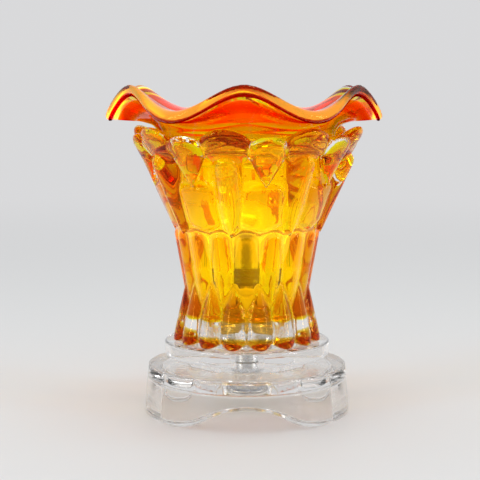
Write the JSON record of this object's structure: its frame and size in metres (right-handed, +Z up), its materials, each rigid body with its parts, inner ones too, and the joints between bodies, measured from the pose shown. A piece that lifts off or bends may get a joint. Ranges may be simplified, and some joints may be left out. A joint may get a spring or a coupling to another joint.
{
  "type": "wax melt warmer",
  "caption": "Electric wax melt warmer: a ruffled amber glass shade with a wax dish in its throat, over a small lamp on a clear glass base.",
  "frame": {"origin": "middle of the underside, on the surface that the base stands on", "axes": "+Z up along the axis of the shade; -Y is the front, where the mouth has a crest"},
  "size_m": [0.1306, 0.1218, 0.1529],
  "materials": {
    "amber_glass": "pressed, amber cased in clear, with a redder mouth",
    "clear_glass": "pressed, polished",
    "dish_glass": "polished",
    "bulb_glass": "blown, clear",
    "brass": "polished and lacquered",
    "contact_brass": "plain stamped",
    "zinc_steel": "bright zinc",
    "silicone": "milky, matt",
    "bush_plastic": "moulded",
    "porcelain": "ivory glaze",
    "cap_metal": "nickel plated",
    "cap_insulator": "black glass",
    "solder": "dull solder",
    "tungsten": "fine wire"
  },
  "bodies": {
    "base": {"base_glass": "clear_glass", "threaded_rod": "zinc_steel", "base_rubber_washer": "silicone", "steel_washer": "zinc_steel", "base_lock_nut": "zinc_steel", "cord_bush": "bush_plastic", "cup_rubber_washer": "silicone", "cup_lock_nut": "brass", "lamp_cup": "brass", "holder_body": "porcelain", "screw_shell": "contact_brass", "live_contact": "contact_brass", "neutral_strap": "contact_brass", "terminal_screws": "brass"},
    "shade": {"shade": "amber_glass"},
    "dish": {"wax_dish": "dish_glass"},
    "bulb": {"bulb_contact": "solder", "bulb_insulator": "cap_insulator", "bulb_cap": "cap_metal", "bulb_envelope": "bulb_glass", "bulb_stem": "bulb_glass", "bulb_lead_wires": "cap_metal", "filament": "tungsten"}
  },
  "joints": [
    {"name": "shade_lift", "type": "slide", "parent": "base", "child": "shade", "axis": [0, 0, 1], "range_m": [0, 0.08]},
    {"name": "dish_lift", "type": "slide", "parent": "shade", "child": "dish", "axis": [0, 0, 1], "range_m": [0, 0.04]},
    {"name": "bulb_unscrew", "type": "hinge", "parent": "base", "child": "bulb", "pos_m": [0, 0, 0.06], "axis": [0, 0, 1], "range_deg": [0, 1080]}
  ]
}
